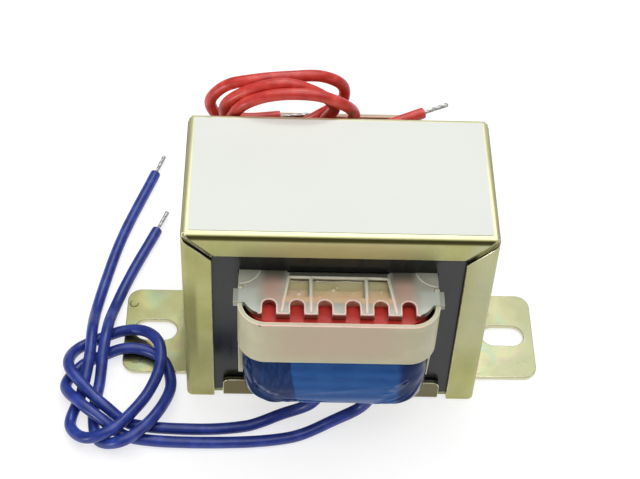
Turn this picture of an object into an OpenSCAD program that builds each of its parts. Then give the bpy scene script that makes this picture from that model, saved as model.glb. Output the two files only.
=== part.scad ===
// Frame-mounted EI mains transformer with a split bobbin and flying leads.
// Millimetres. X runs along the mounting strap, -Y is the front, Z is up.
// The origin is under the middle of the core, on the surface the strap stands on.

/* [Core] */
// Width of the centre tongue
tongue_w = 19; // [16:0.5:24]
// Width of each outer leg
leg_w = 9.5; // [7:0.5:13]
// Width of each winding window
window_w = 9.5; // [8:0.5:13]
// Height of the winding windows
window_h = 28.5; // [25:0.5:36]
// Height of each yoke
yoke_h = 9.5; // [7:0.5:13]
// Thickness of the lamination stack
stack_t = 30; // [24:1:44]
// Number of interleaved groups in the stack
group_count = 10; // [4:2:20]

/* [Clamp cover] */
// Thickness of the cover's sheet
cover_t = 1; // [0.6:0.1:1.5]
// Width of the lips folded over the core's faces
lip_w = 5.7; // [4:0.1:7]
// Inner radius of the folds in the cover and the strap
fold_r = 0.3; // [0.2:0.1:1]
// Width of the open mitre where two lips meet
mitre_gap = 0.7; // [0.3:0.1:1.2]
// Free space between the core and the cover's lips and sides
cover_clear = 0.05; // [0.02:0.01:0.2]

/* [Mounting strap] */
// Thickness of the strap's sheet
strap_t = 1; // [0.8:0.1:1.5]
// Width of each ear
ear_w = 22; // [16:1:24]
// Corner radius of the ears
ear_r = 3; // [1:0.5:5]
// Distance from the cover's side to each slot
slot_clear = 2.86; // [2:0.02:6]
// Length of each slot, end to end
slot_len = 9; // [7:0.5:10]
// Width of each slot
slot_w = 5.4; // [4:0.1:6]
// Metal between each slot and the end of its ear
ear_end = 2; // [1.5:0.5:5]
// Height of the strap's upturned lips
strap_lip_h = 5.6; // [4:0.1:7]
// Corner radius of the upturned lips
strap_lip_r = 1.3; // [0.5:0.1:2]
// Gap between a strap lip and the cover's lip beside it
strap_lip_gap = 1.8; // [0.5:0.1:4]
// Free space round each ear where it leaves the cover
notch_clear = 0.2; // [0.1:0.05:0.5]

/* [Bobbin] */
// Wall of the tube round the tongue
tube_wall = 1; // [0.8:0.1:1.4]
// Free space between the tube and the tongue
tube_clear = 0.2; // [0.1:0.05:0.4]
// Free space between the flanges and the windows
window_clear = 0.25; // [0.15:0.05:0.5]
// Thickness of the comb flanges
flange_t = 1.2; // [1:0.1:1.6]
// Thickness of the partition between the two chambers
partition_t = 1; // [0.8:0.1:1.4]
// Height of the primary chamber
primary_h = 9; // [7:0.5:11]
// How far the upper comb stands out from the core
comb_reach = 10.3; // [9:0.1:12]
// How far the lower comb stands out from the core
lower_reach = 9.2; // [8:0.1:10]
// Number of slots in each comb
comb_count = 6; // [2:1:6]
// Distance between neighbouring comb slots
comb_pitch = 5.2; // [4.6:0.1:5.4]
// Depth of the comb slots
comb_depth = 3.4; // [2.5:0.1:4.2]
// Free space beside a lead in a comb slot
comb_clear = 0.1; // [0.05:0.05:0.3]
// Depth of the tray between the comb's ribs
tray_depth = 1.6; // [0.8:0.1:2]
// Width of the comb's land between the slots and the tray
tray_land = 0.7; // [0.4:0.1:1.2]
// Thickness of the tray's floor
tray_floor = 0.8; // [0.6:0.1:1.2]
// Thickness of the ribs across the tray
rib_t = 0.8; // [0.5:0.1:1.2]
// Radius of the bearing pads at the window corners
pad_r = 4.2; // [3:0.1:5]
// How far the pads' centres lie inside the core's face
pad_inset = 0.7; // [0:0.1:1.5]
// Length of the latch lugs along the flange
lug_len = 3.2; // [2:0.1:4]
// Distance from the flange's step to the latch lugs
lug_setback = 0.9; // [0.5:0.1:1.2]
// How far the latch lugs stand out of the shroud
lug_out = 0.8; // [0.4:0.1:1.2]

/* [Shrouds] */
// Wall of the shrouds round the primary
shroud_wall = 0.9; // [0.7:0.1:1.2]
// Gap between the comb's tips and the shroud
shroud_gap = 1.9; // [1:0.1:3]
// Outer corner radius of the shrouds
shroud_r = 5.5; // [3:0.5:7]
// Free space between a shroud and what it slides over
shroud_clear = 0.1; // [0.05:0.05:0.2]
// How far the shroud's sides reach into the windows
shroud_insert = 2; // [1:0.5:4]
// Depth of the shroud's side wings at the partition
wing_top = 6; // [4:0.5:8]
// Depth of the side wings at their foot
wing_foot = 3; // [2:0.5:4]

/* [Windings] */
// Free space between the windings and the shroud's sides
coil_side_gap = 0.4; // [0.3:0.1:1]
// Corner radius of the windings' outline
coil_r = 6.5; // [4:0.5:8]
// Free space between the primary and the shroud's front
primary_gap = 0.3; // [0.2:0.1:1]
// How far the secondary stands out from the core at its edges
secondary_reach = 10.6; // [9.5:0.1:11.5]
// How much further the secondary bulges at mid height
secondary_bulge = 2.7; // [1:0.1:3.5]
// Thickness of the tape round each winding
tape_t = 0.35; // [0.2:0.05:0.6]

/* [Label] */
// Thickness of the label
label_t = 0.15; // [0.1:0.05:0.3]
// Bare margin of the cover round the label
label_margin = 1.4; // [0.5:0.1:4]

/* [Leads] */
// Outer diameter of the leads
lead_d = 2.4; // [2:0.1:2.6]
// Diameter of the tinned ends
tip_d = 1; // [0.6:0.1:1.2]
// Bared length of the tinned ends
tip_len = 6; // [3:0.5:8]

/* [Hidden] */
e = 0.01;        // overrun of a cutter past the face it cuts
arc_fn = 48;     // facets of a full turn on moulded and folded corners
lead_fn = 8;     // sides of a lead
fold_steps = 7;  // points along a quarter turn of a winding's outline
layers = 9;      // levels up the side of a winding

zinc = [0.72, 0.70, 0.45];
strap_zinc = [0.62, 0.56, 0.40];
steel_dark = [0.20, 0.21, 0.21];
nylon = [0.86, 0.84, 0.78, 0.75];
copper = [0.72, 0.42, 0.22];
tinned = [0.78, 0.78, 0.76];
blue = [0.12, 0.18, 0.60];
red = [0.80, 0.20, 0.18];

// Core
core_w = tongue_w + 2 * window_w + 2 * leg_w;
core_h = window_h + 2 * yoke_h;
core_z = strap_t;
group_t = stack_t / group_count;
window_z0 = core_z + yoke_h;
window_z1 = window_z0 + window_h;
window_x = tongue_w / 2 + window_w;
face_y = stack_t / 2;

// Clamp cover
cover_bend_r = fold_r + cover_t;
fold_clear = fold_r * (1 - sqrt(0.5));  // keeps the stack's edges out of the folds
cover_gap = cover_clear + fold_clear;
cover_w = core_w + 2 * cover_gap + 2 * cover_t;
cover_d = stack_t + 2 * cover_gap + 2 * cover_t;
cover_h = strap_t + core_h + cover_gap + cover_t;

// Mounting strap
strap_lip_len = cover_w - 2 * lip_w - 2 * strap_lip_gap;
strap_plate_w = core_w - 2 * cover_clear;
strap_d = stack_t + 2 * (fold_r + cover_clear) + 2 * strap_t;
slot_x = cover_w / 2 + slot_clear + slot_len / 2;
strap_len = 2 * (slot_x + slot_len / 2 + ear_end);

// Bobbin
tube_in = [tongue_w / 2 + tube_clear, face_y + tube_clear];
tube_out = tube_in + [tube_wall, tube_wall];
flange_top = window_z1 - window_clear;
flange_bottom = window_z0 + window_clear;
primary_z1 = flange_top - flange_t;
primary_z0 = primary_z1 - primary_h;
secondary_z1 = primary_z0 - partition_t;
secondary_z0 = flange_bottom + flange_t;
comb_y = face_y + comb_reach;
lower_y = face_y + lower_reach;
comb_slot_w = lead_d + 2 * comb_clear;
comb_xs = [for (i = [0 : comb_count - 1]) (i - (comb_count - 1) / 2) * comb_pitch];
tray_z = flange_top - tray_depth;
tray_front = comb_y - comb_depth - tray_land;
tray_back = tube_out[1];
rib_xs = [for (s = [-1, 1]) s * comb_pitch];
tray_foot = 2 * comb_pitch;
pad_y = face_y - pad_inset;

// Shrouds
shroud_x = window_x - shroud_clear;
shroud_in_x = shroud_x - shroud_wall;
shroud_in_y = comb_y + shroud_gap;
shroud_y = shroud_in_y + shroud_wall;
shroud_in_r = shroud_r - shroud_wall;
shroud_back = face_y - shroud_insert;
flange_front_x = shroud_in_x - shroud_clear;
flange_wide_x = window_x - window_clear;
step_y = pad_y + pad_r;
lug_y = step_y + lug_setback + lug_len / 2;

// Windings
coil_x = shroud_in_x - coil_side_gap;
primary_y = shroud_in_y - primary_gap;
secondary_y = face_y + secondary_reach;

// Leads. Each starts on the face of its winding, inside a comb slot, and the rest
// of its route is chosen by hand.
blue_exit_y = -(lower_y - comb_depth + comb_slot_w / 2);
red_exit_y = comb_y - comb_depth + comb_slot_w / 2;
// The blue pair runs left on the floor, is knotted once in front of the ear and trails off behind it
blue_route_left = [
    [comb_xs[2], blue_exit_y, secondary_z0], [comb_xs[2], blue_exit_y, 9.5],
    [-4.5, -22, 5.6], [-10, -22.4, 2.6], [-17, -24.5, 1.2], [-26, -25.5, 1.2],
    [-40.5, -24.5, 1.2], [-45.5, -22, 3.5], [-50, -17.8, 4.2], [-54, -12, 4],
    [-53.2, -6.5, 1.8], [-48, -2.8, 1.4], [-43, -1.6, 2.5], [-38.8, -2.8, 3.8],
    [-35.8, -6.5, 4.9], [-35.2, -12, 4.6], [-37, -18, 4], [-40, -23.5, 4.3],
    [-44, -28.4, 4.7], [-49, -29.2, 3], [-52.6, -25.2, 1.3], [-51.2, -17.5, 1.2],
    [-50, -10, 3.8], [-50, -3, 4.1], [-50, 4, 1.6], [-48.5, 14, 1.2], [-46, 26, 1.2],
    [-40, 45.5, 1.2]
];
blue_route_right = [
    [comb_xs[4], blue_exit_y, secondary_z0], [comb_xs[4], blue_exit_y, 9.5],
    [6, -22.5, 5.8], [0.5, -24, 3], [-7, -26.8, 1.3], [-16, -28.3, 1.2],
    [-35, -28.5, 1.2], [-41.5, -27.4, 1.2], [-46.3, -24.9, 3.5], [-51, -21.2, 4],
    [-54.4, -15.8, 2], [-51.6, -10, 1.2], [-47.2, -7.4, 1.5], [-43, -6.3, 2.4],
    [-39, -6.6, 2.4], [-35, -9, 2.4], [-32.9, -15, 2.5], [-34, -21, 3.6],
    [-37.5, -27, 4.1], [-42, -30.2, 3.4], [-46.6, -28.6, 1.2], [-48.2, -22.5, 1.2],
    [-47.6, -14.5, 1.7], [-47.2, -8, 4.1], [-46.8, -2, 4.2], [-46.2, 4.5, 1.7],
    [-43.6, 14, 1.2], [-38.5, 28, 1.2]
];
// The red pair stands in loose loops on the rear ledge and leans on the cover's lip
red_route_left = [
    [comb_xs[2], red_exit_y, primary_z1], [comb_xs[2], red_exit_y, 41],
    [-0.6, 22.3, 46], [-3.8, 20.7, 51], [-10.5, 19.9, 54.3], [-17.6, 19.8, 52.5],
    [-22.4, 20, 48.2], [-21.8, 20.5, 43.4], [-15.5, 21, 40.2], [-8.5, 22.6, 40],
    [-3.2, 25.8, 40.6], [1, 26.4, 43.8], [1, 26, 48.4], [-3.2, 24.8, 52],
    [-10, 23.4, 53], [-16.5, 22.6, 52.8], [-22.4, 22.6, 51], [-25.6, 22.8, 46.6],
    [-24, 23.5, 42], [-18.5, 24.7, 40], [-11.5, 25.5, 40]
];
red_route_right = [
    [comb_xs[3], red_exit_y, primary_z1], [comb_xs[3], red_exit_y, 40.5],
    [3.4, 21.2, 45], [1.6, 18.4, 50], [-3.5, 17.5, 53.4], [-9.5, 17.4, 54],
    [-14.8, 17.4, 53], [-19, 17.4, 50.6], [-21.2, 17.6, 46.6], [-20.2, 17.9, 42.6],
    [-16, 18.2, 40.4], [-9, 18.4, 40], [0, 18.8, 40], [8.5, 22.6, 40], [18, 27.4, 40]
];

// ---------------------------------------------------------------- outlines

// Rectangle about the origin with true round corners
module round_rect(w, h, r) {
    square([w - 2 * r, h], center = true);
    square([w, h - 2 * r], center = true);
    for (sx = [-1, 1], sy = [-1, 1])
        translate([sx * (w / 2 - r), sy * (h / 2 - r)])
            circle(r = r, $fn = arc_fn);
}

// Same outline as a list of points, for the lofted windings
function quarter(cx, cy, r, a0) = [
    for (k = [0 : fold_steps - 1])
        let (a = a0 + 90 * k / (fold_steps - 1)) [cx + r * cos(a), cy + r * sin(a)]
];
function coil_outline(x, y, r) = concat(
    quarter(x - r, y - r, r, 0), quarter(r - x, y - r, r, 90),
    quarter(r - x, r - y, r, 180), quarter(x - r, r - y, r, 270)
);

// Solid through a row of rings that have the same number of points
module skin(rings) {
    n = len(rings[0]);
    last = len(rings) - 1;
    sides = [
        for (j = [0 : last - 1]) for (i = [0 : n - 1])
            let (a = j * n + i, b = j * n + (i + 1) % n)
                each [[a, a + n, b + n], [a, b + n, b]]
    ];
    first_face = [for (i = [0 : n - 1]) i];
    last_face = [for (i = [n - 1 : -1 : 0]) last * n + i];
    polyhedron(
        points = [for (ring = rings) each ring],
        faces = concat(sides, [first_face, last_face])
    );
}

// ---------------------------------------------------------------- core

// One E, legs up, its yoke resting at height zero
module e_profile() {
    difference() {
        translate([-core_w / 2, 0]) square([core_w, core_h - yoke_h]);
        for (s = [-1, 1])
            translate([s * (tongue_w + window_w) / 2 - window_w / 2, yoke_h])
                square([window_w, window_h + e]);
    }
}

module i_profile() {
    translate([-core_w / 2, core_h - yoke_h]) square([core_w, yoke_h]);
}

// Every second group of sheets is turned upside down
module interleaved(group_in_turn) {
    for (k = [group_in_turn : 2 : group_count - 1])
        translate([0, group_t * (k + 1) - face_y, core_z + (k % 2) * core_h])
            mirror([0, 0, k % 2])
                rotate([90, 0, 0])
                    linear_extrude(group_t)
                        children();
}

module e_laminations() {
    color(steel_dark)
        for (turn = [0, 1])
            interleaved(turn) e_profile();
}

module i_laminations() {
    color(steel_dark)
        for (turn = [0, 1])
            interleaved(turn) i_profile();
}

// ---------------------------------------------------------------- clamp cover

// Box with rounded folds, for the outside and the inside of the folded sheet
module folded_box(w, d, h, r) {
    intersection() {
        linear_extrude(h)
            round_rect(w, d, r);
        translate([0, d / 2, 0])
            rotate([90, 0, 0])
                linear_extrude(d)
                    round_rect(w, 2 * h, r);
        rotate([90, 0, 90])
            linear_extrude(w, center = true)
                round_rect(d, 2 * h, r);
    }
}

// Open mitre across an upper corner, between the two lips that meet there
module mitre_cut(side) {
    translate([side * (cover_w - cover_bend_r) / 2, 0, cover_h - cover_bend_r / 2])
        rotate([0, side * 45, 0])
            cube([mitre_gap, cover_d + 2 * e, 3 * lip_w], center = true);
}

module clamp_cover() {
    web_d = cover_d - 2 * cover_t;
    notch_w = ear_w + 2 * notch_clear;
    opening_w = cover_w - 2 * lip_w;
    color(zinc)
        difference() {
            folded_box(cover_w, cover_d, cover_h, cover_bend_r);
            // inside of the sheet, open at the bottom
            translate([0, 0, -cover_h])
                folded_box(cover_w - 2 * cover_t, web_d, 2 * cover_h - cover_t, fold_r);
            // front and back between the lips
            translate([-opening_w / 2, -cover_d / 2 - e, -e])
                cube([opening_w, cover_d + 2 * e, cover_h - lip_w + e]);
            // mitres, through the lips only
            difference() {
                for (side = [-1, 1])
                    mitre_cut(side);
                translate([-cover_w / 2, -web_d / 2, 0])
                    cube([cover_w, web_d, cover_h]);
            }
            // doorways for the ears
            for (side = [-1, 1])
                translate([side * cover_w / 2 - 2 * cover_t, -notch_w / 2, -e])
                    cube([4 * cover_t, notch_w, strap_t + notch_clear + e]);
        }
}

// ---------------------------------------------------------------- mounting strap

// Plan of the flat plate with its two ears
module strap_plan() {
    square([strap_plate_w, stack_t], center = true);
    round_rect(strap_len, ear_w, ear_r);
}

// Upturned lip, drawn in the front view
module strap_lip_face() {
    intersection() {
        translate([-strap_lip_len / 2, 0]) square([strap_lip_len, strap_lip_h]);
        round_rect(strap_lip_len, 2 * strap_lip_h, strap_lip_r);
    }
}

// Folded section of plate and lips, drawn in the side view
module strap_section() {
    bend_r = fold_r + strap_t;
    web_d = strap_d - 2 * strap_t;
    difference() {
        intersection() {
            translate([-strap_d / 2, 0]) square([strap_d, strap_lip_h]);
            translate([0, strap_lip_h]) round_rect(strap_d, 2 * strap_lip_h, bend_r);
        }
        translate([0, strap_lip_h + strap_t]) round_rect(web_d, 2 * strap_lip_h, fold_r);
        translate([-web_d / 2, strap_lip_h]) square([web_d, strap_lip_h]);
    }
}

module mounting_strap() {
    color(strap_zinc)
        difference() {
            union() {
                linear_extrude(strap_t)
                    strap_plan();
                intersection() {
                    rotate([90, 0, 90])
                        linear_extrude(strap_lip_len, center = true)
                            strap_section();
                    translate([0, strap_d / 2, 0])
                        rotate([90, 0, 0])
                            linear_extrude(strap_d)
                                strap_lip_face();
                }
            }
            for (side = [-1, 1])
                translate([side * slot_x, 0, -e]) {
                    for (end = [-1, 1])
                        translate([end * (slot_len - slot_w) / 2, 0, 0])
                            cylinder(r = slot_w / 2, h = strap_t + 2 * e, $fn = arc_fn);
                    translate([-(slot_len - slot_w) / 2, -slot_w / 2, 0])
                        cube([slot_len - slot_w, slot_w, strap_t + 2 * e]);
                }
        }
}

// ---------------------------------------------------------------- bobbin

// Plan of a flange: wide where it lies in the windows, narrower in front of them
module flange_plan(wide_y, front_x, front_y, r) {
    square([2 * flange_wide_x, 2 * wide_y], center = true);
    round_rect(2 * front_x, 2 * front_y, r);
}

// Round-ended slots along both long edges of a flange
module comb_slots(edge_y) {
    for (x = comb_xs, s = [-1, 1])
        translate([x, s * (edge_y - comb_depth + comb_slot_w / 2)]) {
            circle(d = comb_slot_w, $fn = arc_fn);
            translate([-comb_slot_w / 2, s > 0 ? 0 : -comb_depth])
                square([comb_slot_w, comb_depth]);
        }
}

// Trapezoid tray in front of the tube, grown all round by extra
module tray_plan(extra) {
    back_x = tongue_w / 2 + extra;
    foot_x = tray_foot + extra;
    for (s = [-1, 1])
        polygon([
            [-back_x, s * tray_back], [back_x, s * tray_back],
            [foot_x, s * (tray_front + extra)], [-foot_x, s * (tray_front + extra)]
        ]);
}

module tray_ribs() {
    for (x = rib_xs, s = [-1, 1])
        translate([x - rib_t / 2, s > 0 ? tray_back - e : -tray_front - e])
            square([rib_t, tray_front - tray_back + 2 * e]);
}

// Outside of the tray's floor, which dips into the primary chamber
module tray_bulge(extra) {
    translate([0, 0, tray_z - tray_floor - extra])
        linear_extrude(flange_top - tray_z + tray_floor + extra - e)
            tray_plan(rib_t + extra);
}

module bearing_pads() {
    for (sx = [-1, 1], sy = [-1, 1])
        intersection() {
            translate([sx * flange_wide_x, sy * pad_y, flange_top - e])
                cylinder(r = pad_r, h = window_clear + e, $fn = arc_fn);
            translate([sx > 0 ? 0 : -flange_wide_x, sy > 0 ? face_y - pad_r : -step_y, 0])
                cube([flange_wide_x, pad_r + step_y - face_y, window_z1]);
        }
}

module latch_lugs() {
    for (sx = [-1, 1], sy = [-1, 1])
        translate([sx * (shroud_x + lug_out) / 2, sy * lug_y, primary_z1 + flange_t / 2])
            cube([shroud_x + lug_out, lug_len, flange_t], center = true);
}

module bobbin() {
    tube_h = flange_top - flange_bottom;
    color(nylon)
        difference() {
            union() {
                translate([0, 0, flange_bottom])
                    linear_extrude(tube_h)
                        square(2 * tube_out, center = true);
                // upper comb flange with its tray, pads and lugs
                difference() {
                    union() {
                        translate([0, 0, primary_z1])
                            linear_extrude(flange_t)
                                flange_plan(step_y, flange_front_x, comb_y,
                                            shroud_in_r - shroud_clear);
                        tray_bulge(0);
                        bearing_pads();
                        latch_lugs();
                    }
                    translate([0, 0, tray_z])
                        linear_extrude(tray_depth + e)
                            difference() {
                                tray_plan(0);
                                tray_ribs();
                            }
                    translate([0, 0, tray_z - tray_floor - e])
                        linear_extrude(2 * flange_t + tray_depth)
                            comb_slots(comb_y);
                }
                // partition between the chambers
                translate([0, 0, secondary_z1])
                    linear_extrude(partition_t)
                        flange_plan(shroud_back - shroud_clear, flange_front_x,
                                    shroud_in_y - shroud_clear, shroud_in_r);
                // lower comb flange
                translate([0, 0, flange_bottom])
                    linear_extrude(flange_t)
                        difference() {
                            flange_plan(shroud_back - shroud_clear,
                                        flange_front_x - tube_wall, lower_y, shroud_r);
                            comb_slots(lower_y);
                        }
            }
            translate([0, 0, flange_bottom - e])
                linear_extrude(tube_h + 2 * e)
                    square(2 * tube_in, center = true);
        }
}

// ---------------------------------------------------------------- shrouds

// Shroud for the front; the rear one is its mirror image
module shroud() {
    wall_z1 = primary_z1 - shroud_clear;
    difference() {
        union() {
            // wall round the comb, up to the flange's top
            translate([0, 0, secondary_z1])
                linear_extrude(flange_top - secondary_z1)
                    intersection() {
                        shroud_wall_plan();
                        translate([-shroud_x, -shroud_y])
                            square([2 * shroud_x, shroud_y - step_y - shroud_clear]);
                    }
            // sides that pass under the flange and into the windows
            translate([0, 0, secondary_z1])
                linear_extrude(wall_z1 - secondary_z1)
                    intersection() {
                        shroud_wall_plan();
                        translate([-shroud_x, -shroud_y])
                            square([2 * shroud_x, shroud_y - shroud_back]);
                    }
            // wings that screen the secondary from the legs
            for (side = [-1, 1])
                translate([side > 0 ? shroud_in_x : -shroud_x, 0, 0])
                    rotate([90, 0, 90])
                        linear_extrude(shroud_wall)
                            polygon([
                                [-shroud_back, secondary_z1 + e],
                                [-face_y - wing_top, secondary_z1 + e],
                                [-face_y - wing_foot, flange_bottom],
                                [-shroud_back, flange_bottom]
                            ]);
        }
        // catches for the latch lugs
        for (side = [-1, 1])
            translate([side * (shroud_x + shroud_in_x) / 2, -lug_y, wall_z1 + flange_t])
                cube([2 * shroud_wall, lug_len + 2 * shroud_clear, 2 * flange_t], center = true);
    }
}

module shroud_wall_plan() {
    difference() {
        round_rect(2 * shroud_x, 2 * shroud_y, shroud_r);
        round_rect(2 * shroud_in_x, 2 * shroud_in_y, shroud_in_r);
    }
}

module front_shroud() {
    color(nylon) shroud();
}

module rear_shroud() {
    color(nylon) mirror([0, 1, 0]) shroud();
}

// ---------------------------------------------------------------- windings

// Height and outline of each level of a winding, bulging as an ellipse does
function level_z(z0, z1, j) = z0 + (z1 - z0) * (1 - cos(180 * j / (layers - 1))) / 2;
function level_y(y, bulge, j) = y + bulge * sin(180 * j / (layers - 1));

// Winding body between two heights, drawn in by inset all round its side
module wound_body(z0, z1, y, bulge, inset) {
    skin([
        for (j = [0 : layers - 1])
            let (outline = coil_outline(coil_x - inset, level_y(y, bulge, j) - inset, coil_r - inset))
                [for (p = outline) [p[0], p[1], level_z(z0, z1, j)]]
    ]);
}

module tube_core(z0, z1) {
    translate([0, 0, z0 - e])
        linear_extrude(z1 - z0 + 2 * e)
            square(2 * tube_out, center = true);
}

module primary_winding() {
    color(copper)
        difference() {
            wound_body(primary_z0, primary_z1, primary_y, 0, tape_t);
            tube_core(primary_z0, primary_z1);
            tray_bulge(0);
        }
}

module primary_tape() {
    color([0.75, 0.12, 0.12])
        difference() {
            wound_body(primary_z0, primary_z1, primary_y, 0, 0);
            wound_body(primary_z0 - e, primary_z1 + e, primary_y, 0, tape_t);
        }
}

module secondary_winding() {
    color(copper)
        difference() {
            wound_body(secondary_z0, secondary_z1, secondary_y, secondary_bulge, tape_t);
            tube_core(secondary_z0, secondary_z1);
        }
}

module secondary_tape() {
    color([0.10, 0.22, 0.62])
        difference() {
            wound_body(secondary_z0, secondary_z1, secondary_y, secondary_bulge, 0);
            wound_body(secondary_z0, secondary_z1, secondary_y, secondary_bulge, tape_t);
        }
}

// ---------------------------------------------------------------- label

module label() {
    color([0.93, 0.94, 0.91])
        translate([0, 0, cover_h])
            linear_extrude(label_t)
                square([cover_w - 2 * label_margin, cover_d - 2 * label_margin], center = true);
}

// ---------------------------------------------------------------- leads

function unit(v) = v / norm(v);

// Direction of travel at point i of a route, the mean of the two legs at a bend
function heading(route, i) =
    i == 0 ? unit(route[1] - route[0])
    : i == len(route) - 1 ? unit(route[i] - route[i - 1])
    : unit(unit(route[i + 1] - route[i]) + unit(route[i] - route[i - 1]));

// Normals from point i onwards, carried along so that the tube doesn't twist
function carried(route, i, normal) =
    let (t = heading(route, i), n = unit(normal - (normal * t) * t))
        i == len(route) - 1 ? [n] : concat([n], carried(route, i + 1, n));

module lead(route) {
    normals = carried(route, 0, [1, 0, 0]);
    skin([
        for (i = [0 : len(route) - 1])
            let (n = normals[i], b = cross(heading(route, i), n))
                [for (k = [0 : lead_fn - 1])
                    let (a = 360 * k / lead_fn)
                        route[i] + lead_d / 2 * (cos(a) * n + sin(a) * b)]
    ]);
}

// Bared and tinned end that carries on in the direction of the lead
module tip(route) {
    last = len(route) - 1;
    t = heading(route, last);
    color(tinned)
        translate(route[last])
            rotate([0, acos(t[2]), atan2(t[1], t[0])])
                cylinder(d = tip_d, h = tip_len, $fn = arc_fn);
}

module blue_lead_left() {
    color(blue) lead(blue_route_left);
}

module blue_lead_right() {
    color(blue) lead(blue_route_right);
}

module red_lead_left() {
    color(red) lead(red_route_left);
}

module red_lead_right() {
    color(red) lead(red_route_right);
}

// ---------------------------------------------------------------- what is drawn

clamp_cover();
mounting_strap();
e_laminations();
i_laminations();
bobbin();
front_shroud();
rear_shroud();
primary_winding();
primary_tape();
secondary_winding();
secondary_tape();
label();
blue_lead_left();
blue_lead_right();
red_lead_left();
red_lead_right();
tip(blue_route_left);  // blue_tip_left
tip(blue_route_right);  // blue_tip_right
tip(red_route_left);  // red_tip_left
tip(red_route_right);  // red_tip_right
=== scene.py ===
import math
import bmesh
import bpy
import numpy as np
from mathutils import Matrix, Vector


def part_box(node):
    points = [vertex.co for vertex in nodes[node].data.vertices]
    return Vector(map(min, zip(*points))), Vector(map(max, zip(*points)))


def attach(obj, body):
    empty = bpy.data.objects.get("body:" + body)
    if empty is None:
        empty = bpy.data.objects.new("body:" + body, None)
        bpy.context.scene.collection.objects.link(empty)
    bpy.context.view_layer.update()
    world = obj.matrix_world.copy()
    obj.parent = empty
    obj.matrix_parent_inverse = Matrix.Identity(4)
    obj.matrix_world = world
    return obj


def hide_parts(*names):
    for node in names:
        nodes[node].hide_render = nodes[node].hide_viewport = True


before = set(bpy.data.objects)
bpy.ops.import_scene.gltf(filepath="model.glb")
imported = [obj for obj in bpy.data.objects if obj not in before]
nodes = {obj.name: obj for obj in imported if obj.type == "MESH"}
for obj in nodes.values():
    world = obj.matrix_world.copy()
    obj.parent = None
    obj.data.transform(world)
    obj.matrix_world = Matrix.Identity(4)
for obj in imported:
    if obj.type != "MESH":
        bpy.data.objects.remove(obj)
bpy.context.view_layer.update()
mm = 0.001
metre = 1000.0  # in millimetres


def placed(name, data):
    # a new object in the scene
    obj = bpy.data.objects.new(name, data)
    bpy.context.scene.collection.objects.link(obj)
    return obj


cameraFacts = {
    "place": (-12.9, -203.7, 262.4),  # millimetres
    "yaw": 2.3,  # degrees to the right of +Y
    "pitch": 48.53,  # degrees downwards
    "roll": -2.84,
    "focal": 87.2,
    "shift": (0.0122, -0.0042),
    "clip": (0.01, 20),  # metres
}


def makeCamera(facts):
    # forward = (sin yaw cos pitch, cos yaw cos pitch, -sin pitch), then right and down turn about it by roll
    yaw, pitch, roll = (math.radians(facts[k]) for k in ("yaw", "pitch", "roll"))
    forward = Vector((math.sin(yaw) * math.cos(pitch), math.cos(yaw) * math.cos(pitch), -math.sin(pitch)))
    level = Vector((math.cos(yaw), -math.sin(yaw), 0))
    down = -level.cross(forward)
    right = math.cos(roll) * level + math.sin(roll) * down
    up = math.sin(roll) * level - math.cos(roll) * down
    data = bpy.data.cameras.new("camera")
    data.lens = facts["focal"]
    data.shift_x, data.shift_y = facts["shift"]
    data.clip_start, data.clip_end = facts["clip"]
    camera = placed("camera", data)
    camera.matrix_world = Matrix.Translation(Vector(facts["place"]) * mm) @ Matrix(
        (right, up, -forward)).transposed().to_4x4()
    bpy.context.scene.camera = camera


makeCamera(cameraFacts)
bpy.context.scene.view_settings.view_transform = "Standard"
print("camera ready")


class Wire:
    # one output socket that Python arithmetic can be done with
    def __init__(self, paint, socket):
        self.paint, self.socket = paint, socket

    def maths(self, operation, *values):
        return self.paint.add("ShaderNodeMath", {"operation": operation}, dict(enumerate(values)))

    def sine(self):
        return self.maths("SINE", self)

    def size(self):
        return self.maths("ABSOLUTE", self)


def addArithmetic(sign, operation):
    # the operator with the wire on its left, and with it on its right
    setattr(Wire, "__%s__" % sign, lambda wire, other: wire.maths(operation, wire, other))
    setattr(Wire, "__r%s__" % sign, lambda wire, other: wire.maths(operation, other, wire))


for sign, operation in (("add", "ADD"), ("sub", "SUBTRACT"), ("mul", "MULTIPLY"), ("pow", "POWER")):
    addArithmetic(sign, operation)


class NodeBench:
    # a node tree with its shader, and one method that adds any node
    def __init__(self, owner, shader, coordinates):
        owner.use_nodes = True
        self.tree = owner.node_tree
        self.shader = self.tree.nodes[shader]
        self.place = self.add("ShaderNodeTexCoord", {}, {}, coordinates)

    def add(self, kind, settings, inputs, output=0):
        node = self.tree.nodes.new(kind)
        for key, value in settings.items():
            if key == "stops":
                ramp = node.color_ramp
                while len(ramp.elements) < len(value):
                    ramp.elements.new(0.5)
                for element, (position, colour) in zip(ramp.elements, value):
                    element.position, element.color = position, (*colour, 1)
            else:
                setattr(node, key, value)
        for key, value in inputs.items():
            if isinstance(value, Wire):
                self.tree.links.new(value.socket, node.inputs[key])
            else:
                node.inputs[key].default_value = value
        return Wire(self, node.outputs[output])

    def step(self, value, low, high, toLow=0.0, toHigh=1.0):
        return self.add("ShaderNodeMapRange", {"interpolation_type": "SMOOTHSTEP"}, {
            "Value": value, "From Min": low, "From Max": high, "To Min": toLow, "To Max": toHigh})

    def link(self, socket, wire):
        self.tree.links.new(wire.socket, self.shader.inputs[socket])


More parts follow.
